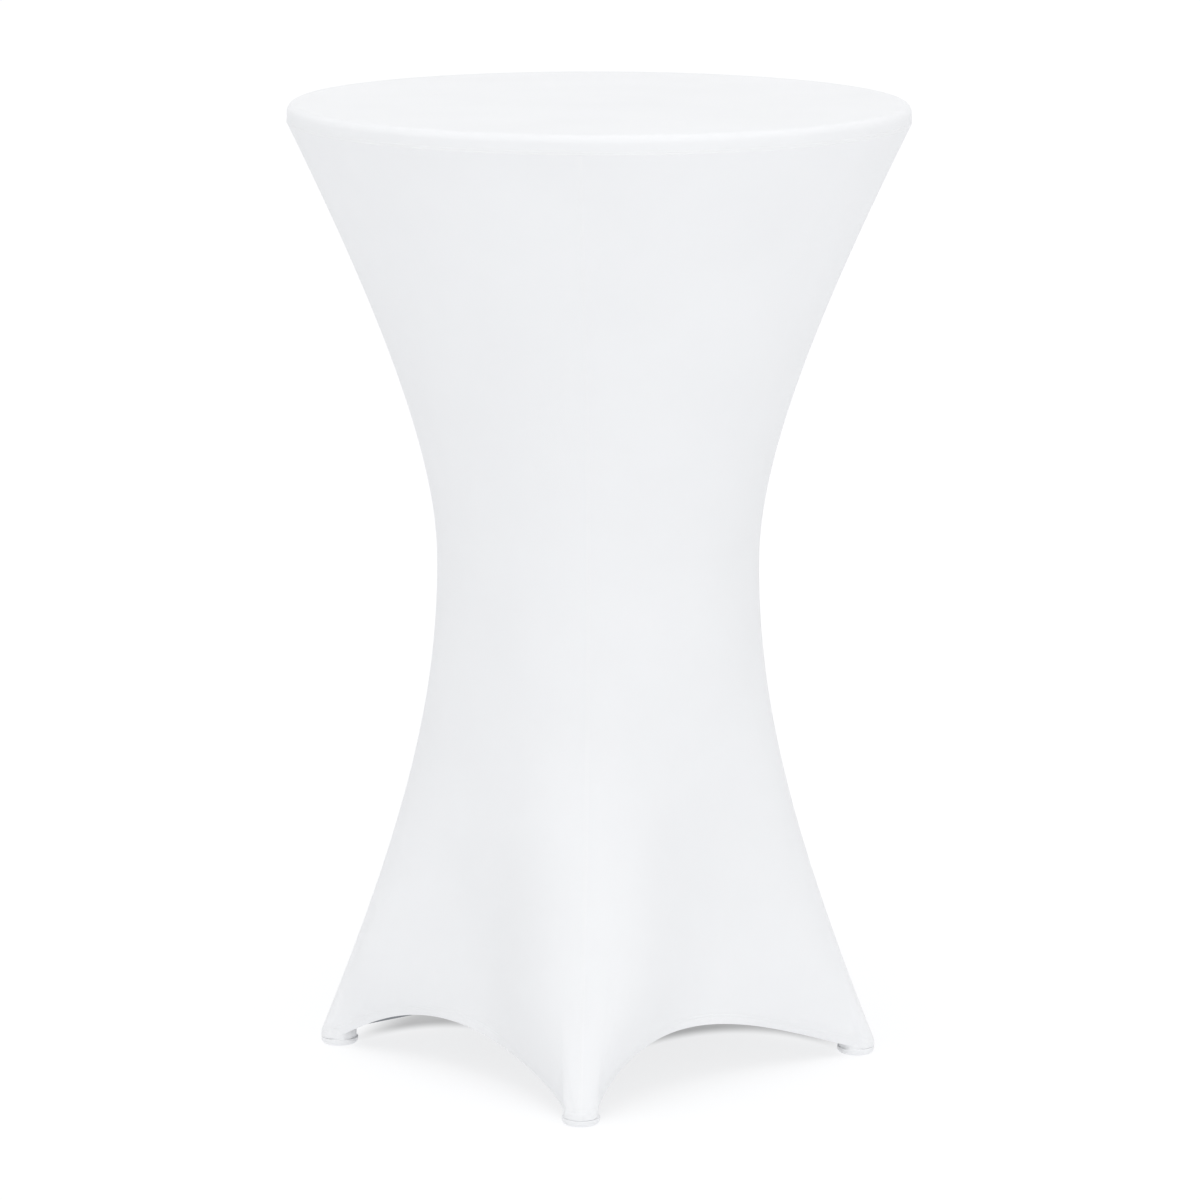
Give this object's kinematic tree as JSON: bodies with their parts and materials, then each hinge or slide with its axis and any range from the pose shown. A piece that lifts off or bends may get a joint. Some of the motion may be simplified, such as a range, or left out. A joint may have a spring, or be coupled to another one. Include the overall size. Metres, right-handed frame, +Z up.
{
  "type": "stretch table cover on a round bar table",
  "caption": "White stretch-fabric cover fitted over a round bar table: flat round top, hourglass skirt, arched hem and a pocket hooked under each foot.",
  "frame": {"origin": "on the floor under the column, at the bottom centre of the bounding box", "axes": "+Z up; the four feet stand on the axes: front foot at -Y, right foot at +X, back foot at +Y, left foot at -X"},
  "size_m": [0.7032, 0.7032, 1.1044],
  "materials": {
    "cover_cloth": "matt warp-knit stretch cloth",
    "seam_thread": "flat overlocked seam",
    "hem_elastic": "woven elastic tape",
    "pocket_sole": "coarse reinforced patch",
    "tabletop_board": "pale laminate",
    "zinc_steel": "zinc plated",
    "chrome_tube": "polished",
    "base_paint": "powder coat",
    "pad_plastic": "moulded"
  },
  "bodies": {
    "root": {"top_panel": "cover_cloth", "side_panel_back_right": "cover_cloth", "side_panel_back_left": "cover_cloth", "side_panel_front_left": "cover_cloth", "side_panel_front_right": "cover_cloth", "rim_seam": "seam_thread", "seam_right": "seam_thread", "seam_back": "seam_thread", "seam_left": "seam_thread", "seam_front": "seam_thread", "hem_tape_back_right": "hem_elastic", "hem_tape_back_left": "hem_elastic", "hem_tape_front_left": "hem_elastic", "hem_tape_front_right": "hem_elastic", "tabletop": "tabletop_board", "top_spider": "zinc_steel", "top_screw_1": "zinc_steel", "top_screw_2": "zinc_steel", "top_screw_3": "zinc_steel", "top_screw_4": "zinc_steel", "column": "chrome_tube", "column_collar": "chrome_tube", "base_hub": "base_paint", "tie_rod": "zinc_steel", "rod_washer": "zinc_steel", "rod_nut": "zinc_steel", "base_arm_right": "base_paint", "base_arm_back": "base_paint", "base_arm_left": "base_paint", "base_arm_front": "base_paint", "leveller_insert_right": "zinc_steel", "lock_nut_right": "zinc_steel", "leveller_insert_back": "zinc_steel", "lock_nut_back": "zinc_steel", "leveller_insert_left": "zinc_steel", "lock_nut_left": "zinc_steel", "leveller_insert_front": "zinc_steel", "lock_nut_front": "zinc_steel"},
    "foot_right": {"leveller_pad_right": "pad_plastic", "foot_pocket_right": "cover_cloth", "pocket_sole_right": "pocket_sole"},
    "stud_right": {"leveller_stud_right": "zinc_steel"},
    "foot_back": {"leveller_pad_back": "pad_plastic", "foot_pocket_back": "cover_cloth", "pocket_sole_back": "pocket_sole"},
    "stud_back": {"leveller_stud_back": "zinc_steel"},
    "foot_left": {"leveller_pad_left": "pad_plastic", "foot_pocket_left": "cover_cloth", "pocket_sole_left": "pocket_sole"},
    "stud_left": {"leveller_stud_left": "zinc_steel"},
    "foot_front": {"leveller_pad_front": "pad_plastic", "foot_pocket_front": "cover_cloth", "pocket_sole_front": "pocket_sole"},
    "stud_front": {"leveller_stud_front": "zinc_steel"}
  },
  "joints": [
    {"name": "foot_right_travel", "type": "slide", "parent": "root", "child": "foot_right", "axis": [0, 0, -1], "range_m": [0, 0.01]},
    {"name": "stud_right_turn", "type": "hinge", "parent": "foot_right", "child": "stud_right", "pos_m": [0.30146, 0, 0.02], "axis": [0, 0, -1], "range_deg": [0, 2400]},
    {"name": "foot_back_travel", "type": "slide", "parent": "root", "child": "foot_back", "axis": [0, 0, -1], "range_m": [0, 0.01]},
    {"name": "stud_back_turn", "type": "hinge", "parent": "foot_back", "child": "stud_back", "pos_m": [0, 0.30146, 0.02], "axis": [0, 0, -1], "range_deg": [0, 2400]},
    {"name": "foot_left_travel", "type": "slide", "parent": "root", "child": "foot_left", "axis": [0, 0, -1], "range_m": [0, 0.01]},
    {"name": "stud_left_turn", "type": "hinge", "parent": "foot_left", "child": "stud_left", "pos_m": [-0.30146, 0, 0.02], "axis": [0, 0, -1], "range_deg": [0, 2400]},
    {"name": "foot_front_travel", "type": "slide", "parent": "root", "child": "foot_front", "axis": [0, 0, -1], "range_m": [0, 0.01]},
    {"name": "stud_front_turn", "type": "hinge", "parent": "foot_front", "child": "stud_front", "pos_m": [0, -0.30146, 0.02], "axis": [0, 0, -1], "range_deg": [0, 2400]}
  ],
  "couplings": [
    {"joint": "stud_right_turn", "follows": "foot_right_travel", "rad_per_m": 4188.8},
    {"joint": "stud_back_turn", "follows": "foot_back_travel", "rad_per_m": 4188.8},
    {"joint": "stud_left_turn", "follows": "foot_left_travel", "rad_per_m": 4188.8},
    {"joint": "stud_front_turn", "follows": "foot_front_travel", "rad_per_m": 4188.8}
  ]
}
